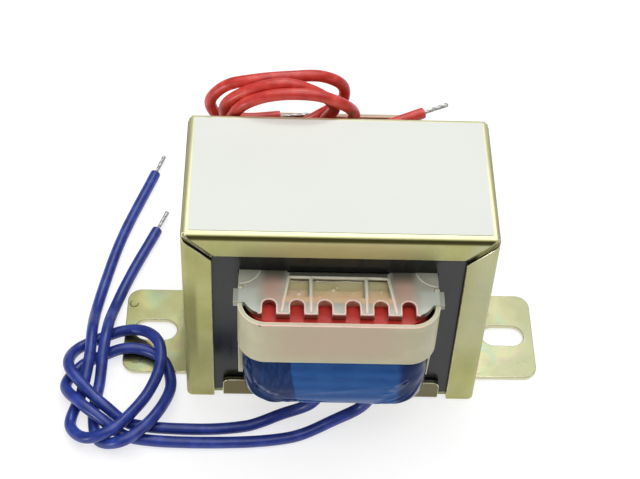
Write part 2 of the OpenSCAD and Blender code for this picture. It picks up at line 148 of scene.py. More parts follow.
class Paint(NodeBench):
    # one material: constants go straight onto the shader, patterns come in as wires
    def __init__(self, name, **constants):
        self.material = bpy.data.materials.new(name)
        super().__init__(self.material, "Principled BSDF", "Object")
        for socket, value in constants.items():
            self.shader.inputs[socket.replace("_", " ")].default_value = value

    def axes(self):
        # place on the part in millimetres
        place = self.add("ShaderNodeVectorMath", {"operation": "SCALE"}, {0: self.place, "Scale": metre})
        return [self.add("ShaderNodeSeparateXYZ", {}, {0: place}, k) for k in range(3)]

    def scaled(self, grain, stretch=(1, 1, 1)):
        # grain is the size of a patch in millimetres, stretched along each axis
        return self.add("ShaderNodeMapping", {}, {"Vector": self.place, "Scale": [
            metre / (grain * s) for s in stretch]})

    def noise(self, grain, detail=3.0, stretch=(1, 1, 1), warp=0.0):
        return self.add("ShaderNodeTexNoise", {}, {
            "Vector": self.scaled(grain, stretch), "Scale": 1.0, "Detail": detail, "Distortion": warp})

    def cells(self, grain):
        return self.add("ShaderNodeTexVoronoi", {}, {"Vector": self.scaled(grain), "Scale": 1.0}, "Distance")

    def ramp(self, value, *stops):
        return self.add("ShaderNodeValToRGB", {"stops": stops}, {0: value})

    def blend(self, amount, first, second):
        # inputs 6 and 7 and output 2 are the colour sockets of the mix
        colours = {6: first, 7: second}
        return self.add("ShaderNodeMix", {"data_type": "RGBA"}, {0: amount, **{
            k: v if isinstance(v, Wire) else (*v, 1) for k, v in colours.items()}}, 2)

    def dress(self, base, parts):
        # each part is a mask, which is a function of place, and the tint that lies there
        axes = self.axes()
        for mask, tint in parts:
            base = self.blend(mask(self, *axes), base, tint)
        return base

    def relief(self, height, depth):
        # depth in millimetres for a height that runs from 0 to 1
        self.link("Normal", self.add("ShaderNodeBump", {}, {
            "Height": height, "Strength": 1.0, "Distance": depth * mm}))


def unit(v):
    return v / np.linalg.norm(v, axis=-1, keepdims=True)


def finishPiece(obj, finishes, replaced=(), sharp=35):
    for finish in finishes:
        obj.data.materials.append(finish)
    obj.data.shade_smooth()
    if sharp:
        obj.data.set_sharp_from_angle(angle=math.radians(sharp))
    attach(obj, "root")
    if replaced:
        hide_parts(*replaced)
    return obj


def refinish(node, finish):
    # the solid keeps its mesh and gets a better material
    nodes[node].data.materials.clear()
    nodes[node].data.materials.append(finish)


def skinObject(name, grid):
    # grid[row, column] in millimetres: neighbours become quads, columns wrap, the end rows are capped
    rows, columns = grid.shape[:2]
    here = np.arange(rows * columns).reshape(rows, columns)
    there = np.roll(here, -1, axis=1)
    faces = np.stack([here[:-1], there[:-1], there[1:], here[1:]], axis=-1).reshape(-1, 4).tolist()
    faces += [here[0, ::-1].tolist(), here[-1].tolist()]
    mesh = bpy.data.meshes.new(name)
    mesh.from_pydata((grid.reshape(-1, 3) * mm).tolist(), [], faces)
    return placed(name, mesh)


def facedOut(obj):
    work = bmesh.new()
    work.from_mesh(obj.data)
    bmesh.ops.recalc_face_normals(work, faces=work.faces)
    work.to_mesh(obj.data)
    work.free()
    return obj


def roundTurn(straight, arc):
    # one turn round a rectangle with round corners: at each step the share of the corner's
    # centre in x and in y, and the angle at which the outline stands off from it
    signs = np.array([(1, 1), (-1, 1), (-1, -1), (1, -1), (1, 1)], float)
    share, angle = [], []
    for k in range(4):
        share += [np.repeat(signs[k:k + 1], arc, axis=0), np.linspace(signs[k], signs[k + 1], straight + 2)[1:-1]]
        angle += [np.linspace(90 * k, 90 * k + 90, arc), np.full(straight, 90.0 * k + 90)]
    return np.concatenate(share), np.radians(np.concatenate(angle))


def roundStack(turn, halfX, halfY, radius, height, lift=0.0):
    # rows of outlines: corner centre share times (half size - radius), plus (radius + lift) outwards
    share, angle = turn
    halfX, halfY, radius, height = (np.broadcast_to(np.asarray(v, float), (len(height),))[:, None]
                                    for v in (halfX, halfY, radius, height))
    x = share[None, :, 0] * (halfX - radius) + (radius + lift) * np.cos(angle)
    y = share[None, :, 1] * (halfY - radius) + (radius + lift) * np.sin(angle)
    return np.stack([x, y, height + 0 * x], axis=-1)


def smoothRoute(route, spacing):
    # Catmull-Rom through the points, with knots a square root of the distance apart,
    # then evened out to one point every spacing
    p = np.array(route, float)
    p = np.vstack([2 * p[0] - p[1], p, 2 * p[-1] - p[-2]])
    gap = np.sqrt(np.linalg.norm(np.diff(p, axis=0), axis=1))[:, None]
    n = len(p) - 3
    before, now, after = gap[:n], gap[1:n + 1], gap[2:n + 2]
    p0, p1, p2, p3 = p[:n], p[1:n + 1], p[2:n + 2], p[3:n + 3]
    leave = now * ((p1 - p0) / before - (p2 - p0) / (before + now) + (p2 - p1) / now)
    arrive = now * ((p2 - p1) / now - (p3 - p1) / (now + after) + (p3 - p2) / after)
    steps = 24  # between two points of the route
    t = (np.arange(steps) / steps)[None, :, None]
    line = ((2 * t**3 - 3 * t**2 + 1) * p1[:, None] + (t**3 - 2 * t**2 + t) * leave[:, None]
            + (3 * t**2 - 2 * t**3) * p2[:, None] + (t**3 - t**2) * arrive[:, None])
    line = np.vstack([line.reshape(-1, 3), p[-2:-1]])
    along = np.concatenate([[0], np.cumsum(np.linalg.norm(np.diff(line, axis=0), axis=1))])
    even = np.linspace(0, along[-1], int(along[-1] / spacing) + 1)
    return np.stack([np.interp(even, along, line[:, k]) for k in range(3)], axis=1), even


def sweep(centre, heading, radius, around):
    # ring of points round each centre: radius (cos a * side + sin a * other), both square to the heading.
    # side is heading x guide, where guide is the direction that the line keeps furthest away from, out of
    # a golden-angle spiral of directions over the sphere
    directions = 400
    k = np.arange(directions) + 0.5
    polar, azimuth = np.arccos(1 - 2 * k / directions), math.pi * (1 + 5**0.5) * k
    guides = np.stack([np.cos(azimuth) * np.sin(polar), np.sin(azimuth) * np.sin(polar), np.cos(polar)], axis=1)
    guide = guides[np.argmin(np.abs(heading @ guides.T).max(axis=0))]
    side = unit(np.cross(heading, guide))
    other = np.cross(heading, side)
    a = np.linspace(0, 2 * math.pi, around, endpoint=False)[None, :, None]
    return centre[:, None] + radius[..., None] * (np.cos(a) * side[:, None] + np.sin(a) * other[:, None])


roundingFacts = {
    "merge": 0.002,  # millimetres
    "flat": 0.5,  # degrees between faces that are joined
    "sharp": 50,  # degrees from which an edge is rounded
    "segments": 2,
}


def roundedCopy(node, name, width, clamp=False, reshape=None):
    # the solid's mesh with its doubles merged, flat faces joined and edges rounded in the second material;
    # reshape takes the corners in millimetres and gives them back moved
    mesh = nodes[node].data.copy()
    mesh.materials.clear()
    work = bmesh.new()
    work.from_mesh(mesh)
    bmesh.ops.remove_doubles(work, verts=work.verts, dist=roundingFacts["merge"] * mm)
    bmesh.ops.dissolve_limit(work, angle_limit=math.radians(roundingFacts["flat"]), verts=work.verts,
                             edges=work.edges)
    work.to_mesh(mesh)
    work.free()
    if reshape:
        corners = np.empty(len(mesh.vertices) * 3, np.float32)
        mesh.vertices.foreach_get("co", corners)
        mesh.vertices.foreach_set("co", (reshape(corners.reshape(-1, 3) / mm) * mm).astype(np.float32).ravel())
        mesh.update()
    obj = placed(name, mesh)
    rounding = obj.modifiers.new("rounding", "BEVEL")
    rounding.width = width * mm
    rounding.segments = roundingFacts["segments"]
    rounding.limit_method = "ANGLE"
    rounding.angle_limit = math.radians(roundingFacts["sharp"])
    rounding.use_clamp_overlap = clamp
    rounding.material = 1
    return obj


def zincSheet(name, facts):
    # yellow passivate: three tints in patches, a rainbow film, rolling lines, scuffs, dark specks, and a tint
    # for each part of the sheet, most of which are painted light, shade and reflection
    paint = Paint(name, Metallic=facts["metal"])
    patch = paint.noise(14, 4, warp=0.6)
    base = paint.ramp(patch, *zip((0.30, 0.52, 0.72), facts["tints"]))
    hue = paint.noise(8, 2, stretch=(1, 1.6, 1), warp=1.2)
    film = paint.ramp(hue, (0.34, (0.52, 0.36, 0.34)), (0.46, (0.55, 0.50, 0.24)), (0.58, (0.27, 0.45, 0.30)),
                      (0.70, (0.36, 0.38, 0.50)))
    where = paint.step(paint.noise(11, 2), 0.45, 0.66)
    base = paint.blend(where * facts["rainbow"], base, film)
    lines = paint.noise(0.35, 3, stretch=facts["rolled"])
    base = paint.blend(paint.step(lines, 0.35, 0.65) * 0.18, base, facts["tints"][2])
    scuff = paint.step(paint.noise(1.1, 5, warp=2.0), 0.60, 0.72)
    base = paint.blend(scuff * 0.22, base, facts["tints"][0])
    base = paint.blend(paint.step(paint.cells(2.3), 0.045, 0.0) * 0.6, base, (0.12, 0.10, 0.05))
    paint.link("Base Color", paint.dress(base, facts["parts"]))
    paint.link("Roughness", facts["roughness"] + 0.10 * patch + 0.10 * lines + 0.12 * scuff)
    paint.relief(lines * 0.5 + paint.noise(0.16, 2) * 0.5, 0.010)
    return paint.material


def cutEdge():
    # sheared edge: greyer and brighter than the passivated face
    paint = Paint("cut edge", Metallic=1.0)
    grain = paint.noise(0.3, 3, stretch=(1, 1, 4))
    paint.link("Base Color", paint.ramp(grain, (0.3, (0.50, 0.47, 0.30)), (0.7, (0.80, 0.77, 0.58))))
    paint.link("Roughness", 0.25 + 0.2 * grain)
    paint.relief(grain, 0.01)
    return paint.material


def coreVarnish(joint):
    # dark dipped varnish over steel: runs that hang along Z, dust, a thin line where E and I meet
    paint = Paint("core varnish", Specular_IOR_Level=0.5)
    z = paint.axes()[2]
    drip = paint.noise(2.2, 3, stretch=(1, 1, 7), warp=0.4)
    cloud = paint.noise(9, 3)
    base = paint.ramp(drip * 0.5 + cloud * 0.5, (0.35, (0.004, 0.005, 0.005)), (0.55, (0.010, 0.012, 0.011)),
                      (0.75, (0.026, 0.029, 0.025)))
    base = paint.blend(paint.step(paint.cells(1.7), 0.07, 0.02) * 0.5, base, (0.20, 0.20, 0.17))
    base = paint.blend(paint.step((z - joint).size(), 0.10, 0.03) * 0.8, base, (0.002, 0.002, 0.002))
    paint.link("Base Color", base)
    paint.link("Roughness", 0.13 + 0.22 * drip)
    paint.relief(drip * 0.7 + cloud * 0.3, 0.07)
    return paint.material


def milkyNylon(name, light, shade, parts):
    # moulded nylon that lets some light through
    paint = Paint(name, Subsurface_Weight=0.3, Subsurface_Scale=0.001, Subsurface_Radius=(1.0, 0.75, 0.5),
                  Specular_IOR_Level=0.4, IOR=1.53)
    cloud = paint.noise(5, 3)
    base = paint.ramp(cloud, (0.35, shade), (0.65, light))
    paint.link("Base Color", paint.dress(base, parts))
    paint.link("Roughness", 0.26 + 0.16 * paint.noise(1.5, 3))
    paint.relief(paint.noise(1.2, 4) * 0.6 + cloud * 0.4, 0.02)
    return paint.material


def filmTape(name, facts):
    # polyester film over wire: the outer layer looks paler between its ends, the left of which leans with z; past
    # the ends the darker tint is in part painted dark reflection of the curved corners, and pale streaks on the left
    # are painted reflection.
    # Smears are short streaks of clear varnish on the front
    paint = Paint(name, Specular_IOR_Level=0.14, Coat_Roughness=0.06)
    deep, bright, corner = facts["tints"]
    leftEnd, rightEnd = facts["ends"]
    x, y, z = paint.axes()
    wraps = paint.noise(3.0, 3, stretch=(1.6, 1.6, 1), warp=0.5)
    turns = (z * 2.4 + 3.0 * paint.noise(6, 2, stretch=(3, 3, 1))).sine() * 0.5 + 0.5
    base = paint.ramp(wraps * 0.8 + turns * 0.2, (0.30, deep), (0.70, bright))
    ragged = 1.6 * (paint.noise(1.6, 4, stretch=(1, 1, 2)) - 0.5)
    left = paint.step(x + 0.133 * z + ragged * 0.3, leftEnd + 0.3, leftEnd - 0.3)
    right = paint.step(x + ragged, rightEnd - 0.8, rightEnd + 0.8)
    # painted reflection: pale streaks in the dark left part of the film
    paintedReflectionStreaks = paint.step(paint.noise(0.8, 3, stretch=(1, 1, 5)), 0.45, 0.65) * paint.step(x, -15.5, -14.0)
    base = paint.blend(left * (1 - 0.28 * paintedReflectionStreaks), base, corner)
    base = paint.blend(right, base, corner)
    paint.link("Base Color", base)
    paint.link("Roughness", facts["gloss"] + 0.10 * wraps)
    wet = 0.0
    for x0, z0, slope in facts["smears"]:
        width = paint.step((z - z0 - slope * (x - x0)).size(), 0.55, 0.30)
        wet = width * paint.step((x - x0).size(), 1.5, 0.9) + wet
    if facts["smears"]:
        paint.link("Coat Weight", wet * paint.step(y, -12.0, -14.0))
    creases = paint.noise(1.8, 4, stretch=(1, 1, 2.2), warp=1.5)
    paint.relief(creases * 0.8 + turns * 0.2, 0.07)
    return paint.material


def vinyl(name, colour, dark, light):
    # extruded insulation: soft gloss, faint mottling, a little dust
    paint = Paint(name, Coat_Weight=0.10, Coat_Roughness=0.2, Specular_IOR_Level=0.5)
    mottle = paint.noise(2.5, 4)
    base = paint.ramp(mottle, (0.3, dark), (0.5, colour), (0.75, light))
    paint.link("Base Color", paint.blend(paint.step(paint.cells(0.7), 0.10, 0.03) * 0.2, base, light))
    paint.link("Roughness", 0.30 + 0.15 * paint.noise(1.2, 3))
    paint.relief(paint.noise(0.8, 4) * 0.7 + mottle * 0.3, 0.025)
    return paint.material


def tinnedStrands():
    paint = Paint("tinned strands", Metallic=1.0)
    frost = paint.noise(0.5, 3)
    paint.link("Base Color", paint.ramp(frost, (0.3, (0.26, 0.26, 0.26)), (0.7, (0.58, 0.57, 0.54))))
    paint.link("Roughness", 0.20 + 0.25 * frost)
    paint.relief(frost, 0.02)
    return paint.material


def enamelWire():
    # copper wire laid in turns one above the other, under amber varnish
    paint = Paint("enamelled wire", Metallic=0.6, Coat_Weight=0.6, Coat_Roughness=0.1)
    z = paint.axes()[2]
    wire = 0.35  # millimetres
    turn = (z * (2 * math.pi / wire) + 0.6 * paint.noise(4, 2)).sine() * 0.5 + 0.5
    # painted shade: each turn is painted dark in the grooves between turns
    base = paint.ramp(turn, (0.0, (0.10, 0.035, 0.015)), (0.6, (0.45, 0.17, 0.07)), (1.0, (0.62, 0.28, 0.13)))
    paint.link("Base Color", base)
    paint.link("Roughness", 0.25 + 0.2 * paint.noise(1, 2))
    paint.relief(turn, 0.1)
    return paint.material


def labelFilm():
    # bare film: nearly even, with a faint cloud and a soft tooth
    paint = Paint("label film", Specular_IOR_Level=0.4)
    cloud = paint.noise(18, 3)
    paint.link("Base Color", paint.ramp(cloud, (0.3, (0.775, 0.797, 0.738)), (0.7, (0.797, 0.819, 0.760))))
    paint.link("Roughness", 0.5 + 0.1 * paint.noise(2, 3))
    paint.relief(paint.noise(0.25, 3), 0.006)
    return paint.material


def amberVarnish(facts):
    # impregnating varnish set over thin nylon: olive by the back wall, painted as the reflection of the cover's lip
    # and its shade, then tan, then orange at the slots
    paint = Paint("amber varnish", Coat_Weight=0.8, Coat_Roughness=0.03, Specular_IOR_Level=0.5)
    reach = paint.axes()[1].size() + 0.8 * (paint.noise(2.2, 3) - 0.5)
    t = paint.step(reach, facts["back"], facts["front"])
    base = paint.ramp(t, (0.10, (0.58, 0.52, 0.29)), (0.40, (0.52, 0.44, 0.23)), (0.50, (0.70, 0.54, 0.31)),
                      (0.78, (0.74, 0.55, 0.33)), (0.95, (0.78, 0.47, 0.27)))
    blush = paint.step(paint.noise(2.8, 3, warp=0.6), 0.50, 0.66)
    paint.link("Base Color", paint.blend(blush * 0.4, base, (0.70, 0.52, 0.38)))
    paint.link("Roughness", 0.08 + 0.2 * paint.noise(1.0, 3))
    paint.relief(paint.noise(1.6, 3, warp=0.4), 0.10)
    return paint.material


def floorPaper(facts):
    paint = Paint("floor paper", Roughness=0.9, Specular_IOR_Level=0.1, Emission_Strength=facts["glow"],
                  Emission_Color=(1, 1, 1, 1))
    low, high = facts["paper"]
    paint.link("Base Color", paint.ramp(paint.noise(60, 2), (0.3, (low, low, low)), (0.7, (high, high, high))))
    return paint.material


# masks by place in millimetres: step(value, where the mask is 0, where it is 1)
def topOfCover(paint, x, y, z):
    return paint.step(z, 49.3, 49.5) * (0.75 + 0.25 * paint.noise(3, 4))


def paintedDarkReflectionUnderFold(paint, x, y, z):
    # painted dark reflection: a dark line on the front and back, just under the fold
    return paint.step(z, 48.1, 48.7) * paint.step(z, 49.64, 49.44) * paint.step(y.size(), 15.6, 15.9) * 0.95


def paintedShadeInMitre(paint, x, y, z):
    # painted shade: the sheared wall at the foot of the mitre's opening, in the shade of the top lip, is painted
    # nearly black
    return paint.step((z - x.size() - 18.605).size(), 0.16, 0.08) * paint.step(z, 42.0, 42.3) * paint.step(
        y.size(), 14.8, 14.9)


def paintedReflectionOnTopLip(paint, x, y, z):
    # painted reflection: the middle of the top lip is painted brighter than its ends
    return paint.step(y.size(), 15.6, 15.9) * paint.step(z, 42.5, 44.5) * paint.step(z, 48.6, 48.1) * paint.step(
        x.size(), 24.0, 12.0) * 0.55


def paintedDarkReflectionOnLeftLip(paint, x, y, z):
    # painted dark reflection: a duller patch on the left side lip of the front
    return paint.step(x, -26.5, -27.5) * paint.step(y, -15.4, -15.7) * paint.step(z, 9, 20) * paint.step(
        z, 40, 30) * 0.6


def paintedLightOnRightSide(paint, x, y, z):
    # painted light: the right side of the cover is painted paler, as if lit from the right
    return paint.step(x, 22.0, 27.0) * paint.step(z, 8.0, 26.0) * paint.step(z, 49.3, 49.0) * 0.4


def paintedShadeOnStrapLip(paint, x, y, z):
    # painted shade: the strap's lips, in the shade of the coil, are painted darker and browner
    return paint.step(y.size(), 15.7, 16.0) * 0.85


def edgeOfStrap(paint, x, y, z):
    # sheared walls of the ears and their slots, below the face
    return paint.step(z, 0.93, 0.86) * paint.step(x.size(), 29.8, 30.2)


def paintedLightOnRightEar(paint, x, y, z):
    # painted light: the right ear is painted paler, as if lit from the right
    return paint.step(x, 26.0, 34.0) * 0.5


coverFacts = {
    "tints": ((0.345, 0.335, 0.11), (0.44, 0.43, 0.165), (0.53, 0.515, 0.24)),
    "rainbow": 0.10,
    "rolled": (1, 1, 14),
    "metal": 0.72,
    "roughness": 0.36,
    "parts": [(paintedReflectionOnTopLip, (0.74, 0.72, 0.40)), (paintedDarkReflectionOnLeftLip, (0.15, 0.145, 0.04)),
              (paintedLightOnRightSide, (0.56, 0.58, 0.46)), (topOfCover, (0.82, 0.80, 0.52)),
              (paintedDarkReflectionUnderFold, (0.050, 0.043, 0.006)), (paintedShadeInMitre, (0.012, 0.010, 0.005))],
}
strapFacts = {
    "tints": ((0.205, 0.20, 0.075), (0.25, 0.25, 0.11), (0.30, 0.305, 0.165)),
    "rainbow": 0.55,
    "rolled": (14, 1, 1),
    "metal": 0.95,
    "roughness": 0.26,
    "parts": [(paintedLightOnRightEar, (0.30, 0.31, 0.215)), (paintedShadeOnStrapLip, (0.15, 0.125, 0.06)),
              (edgeOfStrap, (0.66, 0.63, 0.42))],
}
coverFinish = zincSheet("zinc cover", coverFacts)
strapFinish = zincSheet("zinc strap", strapFacts)
edgeFinish = cutEdge()
coreFinish = coreVarnish(39.0)
print("finishes ready")


leadFacts = {
    "diameter": 2.4,
    "wall": 0.62,  # insulation thickness
    "spacing": 0.45,  # between rings
    "around": 24,
    "cutRound": 0.08,  # rounding of the outer edge before the cut
    "tipDiameter": 1.0,
    "tipLength": 6.0,
    "tipBuried": 0.6,  # length inside the insulation
    "tipRound": 0.25,  # length over which the end closes
    "tipAround": 48,
    "strandTurn": 9.0,  # lay length of the strands
}

blueRouteLeft = [
    (-2.6, -22.1, 11.95), (-2.6, -22.1, 9.5), (-4.5, -22, 5.6), (-10, -22.4, 2.6), (-17, -24.5, 1.2),
    (-26, -25.5, 1.2), (-40.5, -24.5, 1.2), (-45.5, -22, 3.5), (-50, -17.8, 4.2), (-54, -12, 4),
    (-53.2, -6.5, 1.8), (-48, -2.8, 1.4), (-43, -1.6, 2.5), (-38.8, -2.8, 3.8), (-35.8, -6.5, 4.9),
    (-35.2, -12, 4.6), (-37, -18, 4), (-40, -23.5, 4.3), (-44, -28.4, 4.7), (-49, -29.2, 3),
    (-52.6, -25.2, 1.3), (-51.2, -17.5, 1.2), (-50, -10, 3.8), (-50, -3, 4.1), (-50, 4, 1.6),
    (-48.5, 14, 1.2), (-46, 26, 1.2), (-40, 45.5, 1.2)]
blueRouteRight = [
    (7.8, -22.1, 11.95), (7.8, -22.1, 9.5), (6, -22.5, 5.8), (0.5, -24, 3), (-7, -26.8, 1.3),
    (-16, -28.3, 1.2), (-35, -28.5, 1.2), (-41.5, -27.4, 1.2), (-46.3, -24.9, 3.5), (-51, -21.2, 4),
    (-54.4, -15.8, 2), (-51.6, -10, 1.2), (-47.2, -7.4, 1.5), (-43, -6.3, 2.4), (-39, -6.6, 2.4),
    (-35, -9, 2.4), (-32.9, -15, 2.5), (-34, -21, 3.6), (-37.5, -27, 4.1), (-42, -30.2, 3.4),
    (-46.6, -28.6, 1.2), (-48.2, -22.5, 1.2), (-47.6, -14.5, 1.7), (-47.2, -8, 4.1), (-46.8, -2, 4.2),
    (-46.2, 4.5, 1.7), (-43.6, 14, 1.2), (-38.5, 28, 1.2)]
redRouteLeft = [
    (-2.6, 23.2, 37.55), (-2.6, 23.2, 41), (-0.6, 22.3, 46), (-3.8, 20.7, 51), (-10.5, 19.9, 54.3),
    (-17.6, 19.8, 52.5), (-22.4, 20, 48.2), (-21.8, 20.5, 43.4), (-15.5, 21, 40.2), (-8.5, 22.6, 40),
    (-3.2, 25.8, 40.6), (1, 26.4, 43.8), (1, 26, 48.4), (-3.2, 24.8, 52), (-10, 23.4, 53),
    (-16.5, 22.6, 52.8), (-22.4, 22.6, 51), (-25.6, 22.8, 46.6), (-24, 23.5, 42), (-18.5, 24.7, 40),
    (-11.5, 25.5, 40)]
redRouteRight = [
    (2.6, 23.2, 37.55), (2.6, 23.2, 40.5), (3.4, 21.2, 45), (1.6, 18.4, 50), (-3.5, 17.5, 53.4),
    (-9.5, 17.4, 54), (-14.8, 17.4, 53), (-19, 17.4, 50.6), (-21.2, 17.6, 46.6), (-20.2, 17.9, 42.6),
    (-16, 18.2, 40.4), (-9, 18.4, 40), (0, 18.8, 40), (8.5, 22.6, 40), (18, 27.4, 40)]

blueVinyl = vinyl("blue insulation", (0.015, 0.037, 0.27), (0.010, 0.026, 0.20), (0.036, 0.070, 0.39))
redVinyl = vinyl("red insulation", (0.64, 0.046, 0.034), (0.50, 0.028, 0.022), (0.80, 0.11, 0.085))
tinFinish = tinnedStrands()


def makeTip(name, start, heading, facts, seed):
    # six lobes that turn once in strandTurn: radius = R (0.84 + 0.16 |cos 3(a - turn)|), swelling to its end
    length, closing = facts["tipLength"], facts["tipRound"]
    along = np.concatenate([np.linspace(-facts["tipBuried"], length - closing, 60),
                            length - closing * (1 - np.sin(np.linspace(0.3, 1.5, 6)))])
    a = np.linspace(0, 2 * math.pi, facts["tipAround"], endpoint=False)
    swell = 0.80 + 0.18 * (along / length) ** 2 + 0.03 * np.sin(along * 2.3 + seed)
    end = np.sqrt(np.clip((length - along) / closing, 0.02, 1))
    turned = a[None] - 2 * math.pi * along[:, None] / facts["strandTurn"] + seed
    lobes = 0.84 + 0.16 * np.abs(np.cos(3 * turned))
    radius = facts["tipDiameter"] / 2 * (swell * end)[:, None] * lobes
    centre = start + along[:, None] * heading
    headings = np.repeat(heading[None], len(along), axis=0)
    return skinObject(name, sweep(centre, headings, radius, facts["tipAround"]))


def makeLead(name, route, facts, finish, node, tipNode, seed):
    # a tube along the route; its cut end turns in over the wall and back down to the strands
    line, along = smoothRoute(route, facts["spacing"])
    full = facts["diameter"] / 2
    line[:, 2] = np.maximum(line[:, 2], min(p[2] for p in route))  # no sag below what it lies on
    bore = full - facts["wall"]
    heading = unit(np.gradient(line, axis=0))
    endHeading = unit(np.array(route[-1], float) - np.array(route[-2], float))
    heading[-1] = endHeading
    # rings of the cut end: distance past it and radius
    cut = np.array([(-facts["cutRound"], full - 0.01), (0.0, full - 0.02), (0.03, full - 0.10),
                    (0.0, bore + 0.08), (-0.25, bore)])
    centre = np.vstack([line[:-1], line[-1] + cut[:, :1] * endHeading])
    headings = np.vstack([heading[:-1], np.repeat(endHeading[None], len(cut), axis=0)])
    uneven = 0.008  # share of the radius
    body = full * (1 - uneven - uneven * np.sin(along[:-1] * 0.9 + seed) * np.sin(along[:-1] * 0.23))
    radius = np.concatenate([body, cut[:, 1]])
    grid = sweep(centre, headings, radius[:, None], facts["around"])
    a = np.linspace(0, 2 * math.pi, facts["around"], endpoint=False)
    ragged = 0.03 * np.sin(3 * a + seed) + 0.02 * np.sin(7 * a + 2 * seed)
    grid[-5:-1] += ragged[None, :, None] * endHeading  # all but the ring inside the bore
    lead = finishPiece(skinObject(name, grid), [finish], [node], sharp=50)
    tip = finishPiece(makeTip(name + "Strands", line[-1], endHeading, facts, seed), [tinFinish],
                      [tipNode], sharp=0)
    print(name, "is", round(float(along[-1]), 1), "mm long")


makeLead("blueLeadLeft", blueRouteLeft, leadFacts, blueVinyl, "blue_lead_left", "blue_tip_left", 0.3)
makeLead("blueLeadRight", blueRouteRight, leadFacts, blueVinyl, "blue_lead_right", "blue_tip_right", 1.7)
makeLead("redLeadLeft", redRouteLeft, leadFacts, redVinyl, "red_lead_left", "red_tip_left", 2.9)
makeLead("redLeadRight", redRouteRight, leadFacts, redVinyl, "red_lead_right", "red_tip_right", 4.1)
print("leads ready")


edgeRadius = 0.13  # rounding of sheared sheet, millimetres
mitreFacts = {
    "height": 19.505,  # the side lip's cut lies at z = |x| + this
    "opening": 0.9,  # how much further down the side lip is sheared
    "above": 43.2,  # only corners above this z move
    "foldStart": 14.85,  # |y| where the side's fold starts
    "foldRun": 0.62,  # over which the opening grows there
    "outside": 29.3,  # |x| beyond which it grows so, and is full within
}


def openMitre(corners):
    # corners of the side lip's slanting cut go down by the opening, less so where the fold runs out
    facts = mitreFacts
    x, y, z = np.abs(corners[:, 0]), np.abs(corners[:, 1]), corners[:, 2]
    above = z - x - facts["height"]
    cut = (above < 0.05) & (above > -0.9) & (z > facts["above"]) & (y > facts["foldStart"] - 0.01)
    fade = np.clip((y - facts["foldStart"]) / facts["foldRun"], 0, 1)
    share = np.where(x > facts["outside"], fade * fade * (3 - 2 * fade), 1.0)
    moved = corners.copy()
    moved[:, 2] -= cut * share * facts["opening"]
    return moved


finishPiece(roundedCopy("clamp_cover", "clampCover", edgeRadius, reshape=openMitre), [coverFinish, edgeFinish],
            ["clamp_cover"])
finishPiece(roundedCopy("mounting_strap", "mountingStrap", edgeRadius), [strapFinish, edgeFinish],
            ["mounting_strap"])
refinish("e_laminations", coreFinish)
refinish("i_laminations", coreFinish)


beadAround = 10  # sides of every thin bead


def beadFade(steps, ends, gain):
    # 1 along a bead, and rounding off to nearly nothing at its two ends
    return np.sqrt(np.clip(np.sin(np.linspace(ends, math.pi - ends, steps)) * gain, 0, 1))[:, None]


punchFacts = {
    "wire": 0.14,  # radius of the section
    "height": 1.0,
    "turn": 250,  # degrees
    "steps": 40,
    "marks": [(-42.1, 7.0, 0.85, 120), (-40.7, -7.7, 1.15, 150)],  # x, y, radius, angle of the start
}


def makePunchMark(name, x, y, radius, start, facts):
    # open ring of round section: centre + radius (cos t, sin t), lying half sunk in the ear
    t = np.radians(np.linspace(start, start + facts["turn"], facts["steps"]))
    line = np.stack([x + radius * np.cos(t), y + radius * np.sin(t), facts["height"] + 0 * t], axis=1)
    heading = np.stack([-np.sin(t), np.cos(t), 0 * t], axis=1)
    return skinObject(name, sweep(line, heading, facts["wire"] * beadFade(facts["steps"], 0.05, 3), beadAround))


for k, (x, y, radius, start) in enumerate(punchFacts["marks"]):
    finishPiece(makePunchMark("punchMark%d" % k, x, y, radius, start, punchFacts), [strapFinish],
                sharp=0)
print("frame and core ready")


def blushBesideTray(paint, x, y, z):
    # a red blush on the flange either side of the tray
    inside = paint.step(x.size(), 15.2, 13.0) * paint.step(x.size(), 9.8, 11.4)
    reach = paint.step(y.size(), 15.2, 16.8) * paint.step(y.size(), 23.6, 21.0)
    return inside * reach * paint.step(z, 35.5, 36.5) * (0.35 + 0.55 * paint.noise(3.5, 3))


def tanOverTray(paint, x, y, z):
    # tan land between the tray and the slots
    inside = paint.step(x.size() - (y.size() - 16.0) * 0.17, 9.9, 9.3)
    return inside * paint.step(y.size(), 20.6, 21.0) * paint.step(y.size(), 22.9, 22.0) * paint.step(z, 36.0, 36.6)


def pinkAtSlots(paint, x, y, z):
    # the rims' painted highlight is pink between and beside the slots, with the red tape behind
    return paint.step(x.size(), 16.6, 15.0) * paint.step(y.size(), 20.8, 21.8) * paint.step(z, 36.0, 36.8) * 0.85


def warmInShroud(paint, x, y, z):
    # a warmer middle of the wall, with the red tape behind it
    inside = paint.step(x.size(), 16.5, 7.0)
    return inside * paint.step(z, 27.6, 31.0) * (0.40 + 0.6 * paint.noise(5, 3))


def speckOnShroud(paint, x, y, z):
    # one dark fleck near the left end of the front wall's top edge
    away = ((x + 14.6) ** 2 + (y + 27.7) ** 2 + (z - 38.4) ** 2) ** 0.5
    return paint.step(away, 0.42, 0.25)


def paintedShadeOnFlangeBack(paint, x, y, z):
    # the flange's back edge beside the tray is dark: the core behind it shows through, and shade is painted there
    # beside the core
    inside = paint.step(x.size(), 15.4, 13.4) * paint.step(x.size(), 9.2, 10.6)
    return inside * paint.step(y.size(), 18.6, 15.4) * paint.step(z, 35.5, 36.5) * 0.85


def paintedShadeBehindTray(paint, x, y, z):
    # painted shade: the strip behind the tray's back wall, against the core, is painted nearly black
    return paint.step(x.size(), 9.4, 9.2) * paint.step(y.size(), 16.25, 16.05) * paint.step(z, 38.3, 38.5) * 0.85


